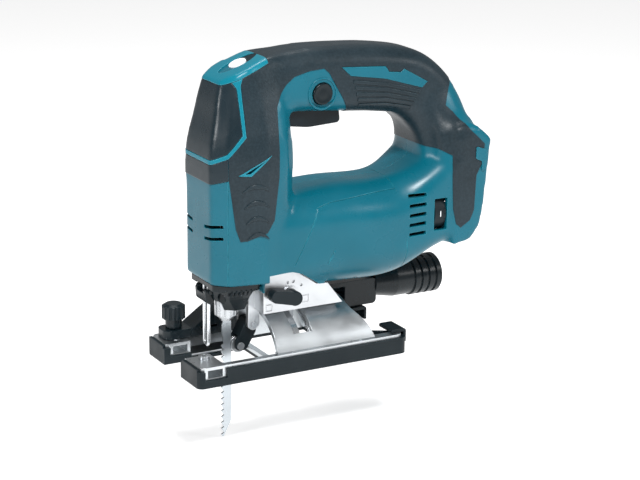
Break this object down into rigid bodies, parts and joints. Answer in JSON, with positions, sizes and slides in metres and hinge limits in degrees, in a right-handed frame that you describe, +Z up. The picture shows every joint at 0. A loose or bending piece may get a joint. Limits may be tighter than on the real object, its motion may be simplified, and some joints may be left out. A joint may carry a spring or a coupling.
{
  "type": "jigsaw power tool",
  "caption": "Handheld cordless orbital jigsaw with D-shaped handle, tilting sole plate, clamped blade and side dust spigot.",
  "frame": {"origin": "centre of the sole's underside", "axes": "+X is the cutting direction, +Y is the tool's left side, +Z is up from the sole"},
  "size_m": [0.2093, 0.0783, 0.2493],
  "materials": {
    "teal_shell": "satin moulded plastic",
    "soft_grip": "textured overmould",
    "dark_panel": "satin dark plastic",
    "trim": "smooth",
    "black_plastic": "fine texture",
    "aluminium": "die-cast, brushed on top",
    "bracket_metal": "satin",
    "steel": "ground",
    "blade_steel": "ground",
    "screw_steel": "zinc",
    "gear_steel": "machined",
    "bronze": "sintered",
    "copper_motor": "laminations and windings",
    "magnet": "dark",
    "badge_silver": "satin",
    "clear_lens": "clear",
    "board": "circuit board"
  },
  "bodies": {
    "housing": {"battery_rails": "black_plastic", "bevel_bolt": "screw_steel", "bevel_bracket": "bracket_metal", "chevron_trim": "trim", "controller_board": "board", "crank_bearing": "steel", "fork_pin": "steel", "front_band": "dark_panel", "front_bearing": "steel", "front_cap": "dark_panel", "front_cover": "teal_shell", "gear_housing": "aluminium", "grip_left": "soft_grip", "grip_right": "soft_grip", "housing_left": "teal_shell", "housing_right": "teal_shell", "housing_screws": "screw_steel", "led_lens": "clear_lens", "lever_washer": "steel", "lower_bush": "bronze", "motor_stator": "copper_motor", "nose_guard": "black_plastic", "rear_bearing": "steel", "side_badges": "trim", "switch_body": "black_plastic", "terminal_block": "black_plastic", "top_badge": "badge_silver", "top_frame": "trim", "trigger_pin": "steel", "trigger_spring": "steel", "upper_bush": "bronze", "wire_guard": "steel"},
    "crank": {"crank_gear": "gear_steel"},
    "crank_roller": {"crank_roller": "gear_steel"},
    "rotor": {"pinion": "gear_steel", "motor_rotor": "magnet", "motor_shaft": "gear_steel", "motor_fan": "black_plastic"},
    "plunger": {"plunger": "steel", "blade": "blade_steel", "clamp_body": "steel"},
    "clamp_sleeve": {"clamp_sleeve": "steel"},
    "fork": {"roller_fork": "black_plastic", "roller_pin": "steel"},
    "guide_roller": {"guide_roller": "steel"},
    "orbital_lever": {"orbital_lever": "black_plastic"},
    "release_lever": {"release_lever": "black_plastic"},
    "bevel_shoe": {"bevel_shoe": "steel"},
    "base": {"base_casting": "aluminium", "base_cover": "black_plastic", "fence_screw": "screw_steel", "dust_nozzle": "black_plastic"},
    "nozzle_knob": {"nozzle_knob": "black_plastic"},
    "trigger": {"trigger": "black_plastic"},
    "lock_button": {"lock_button": "black_plastic"},
    "speed_dial": {"speed_dial": "black_plastic"}
  },
  "joints": [
    {"name": "crank_turn", "type": "hinge", "parent": "housing", "child": "crank", "pos_m": [0.014, 0, 0.1071], "axis": [1, 0, 0], "range_deg": [-90, 90]},
    {"name": "crank_roller_spin", "type": "hinge", "parent": "crank", "child": "crank_roller", "pos_m": [0.026, 0.013, 0.1071], "axis": [1, 0, 0], "continuous": true},
    {"name": "rotor_spin", "type": "hinge", "parent": "housing", "child": "rotor", "pos_m": [-0.03, 0, 0.0795], "axis": [1, 0, 0], "range_deg": [-460, 460]},
    {"name": "plunger_stroke", "type": "slide", "parent": "housing", "child": "plunger", "axis": [0, 0, 1], "range_m": [-0.0131, 0.0131]},
    {"name": "blade_release_twist", "type": "hinge", "parent": "plunger", "child": "clamp_sleeve", "pos_m": [0.037, 0, 0.035], "axis": [0, 0, 1], "range_deg": [0, 40], "stiffness_Nm_per_rad": 0.02},
    {"name": "roller_fork_swing", "type": "hinge", "parent": "housing", "child": "fork", "pos_m": [0.0216, 0, 0.025], "axis": [0, 1, 0], "range_deg": [0, 5]},
    {"name": "guide_roller_spin", "type": "hinge", "parent": "fork", "child": "guide_roller", "pos_m": [0.0293, 0, 0.0108], "axis": [0, 1, 0], "continuous": true},
    {"name": "orbital_lever_turn", "type": "hinge", "parent": "housing", "child": "orbital_lever", "pos_m": [0.0026, 0.02, 0.0448], "axis": [0, 1, 0], "range_deg": [-60, 0]},
    {"name": "release_lever_swing", "type": "hinge", "parent": "housing", "child": "release_lever", "pos_m": [0.0516, 0, 0.0506], "axis": [0, 1, 0], "range_deg": [-70, 0]},
    {"name": "base_tilt", "type": "hinge", "parent": "housing", "child": "bevel_shoe", "pos_m": [-0.006, 0, 0], "axis": [1, 0, 0], "range_deg": [0, 45]},
    {"name": "base_slide", "type": "slide", "parent": "bevel_shoe", "child": "base", "axis": [1, 0, 0], "range_m": [-0.006, 0]},
    {"name": "nozzle_knob_turn", "type": "hinge", "parent": "base", "child": "nozzle_knob", "pos_m": [0.0605, -0.027, 0.02], "axis": [0, 0, 1], "range_deg": [0, 540]},
    {"name": "trigger_press", "type": "hinge", "parent": "housing", "child": "trigger", "pos_m": [-0.001, 0, 0.164], "axis": [0, 1, 0], "range_deg": [0, 7], "stiffness_Nm_per_rad": 1.2, "springref_deg": -4.58, "deforming": ["trigger_spring"]},
    {"name": "lock_button_push", "type": "slide", "parent": "housing", "child": "lock_button", "axis": [0, 1, 0], "range_m": [-0.004, 0]},
    {"name": "speed_dial_turn", "type": "hinge", "parent": "housing", "child": "speed_dial", "pos_m": [-0.0995, 0.0193, 0.0875], "axis": [1, 0, 0], "range_deg": [-150, 150]}
  ],
  "couplings": [
    {"joint": "plunger_stroke", "follows": "crank_turn", "m_per_rad": 0.0082761},
    {"joint": "rotor_spin", "follows": "crank_turn", "ratio": -5}
  ]
}
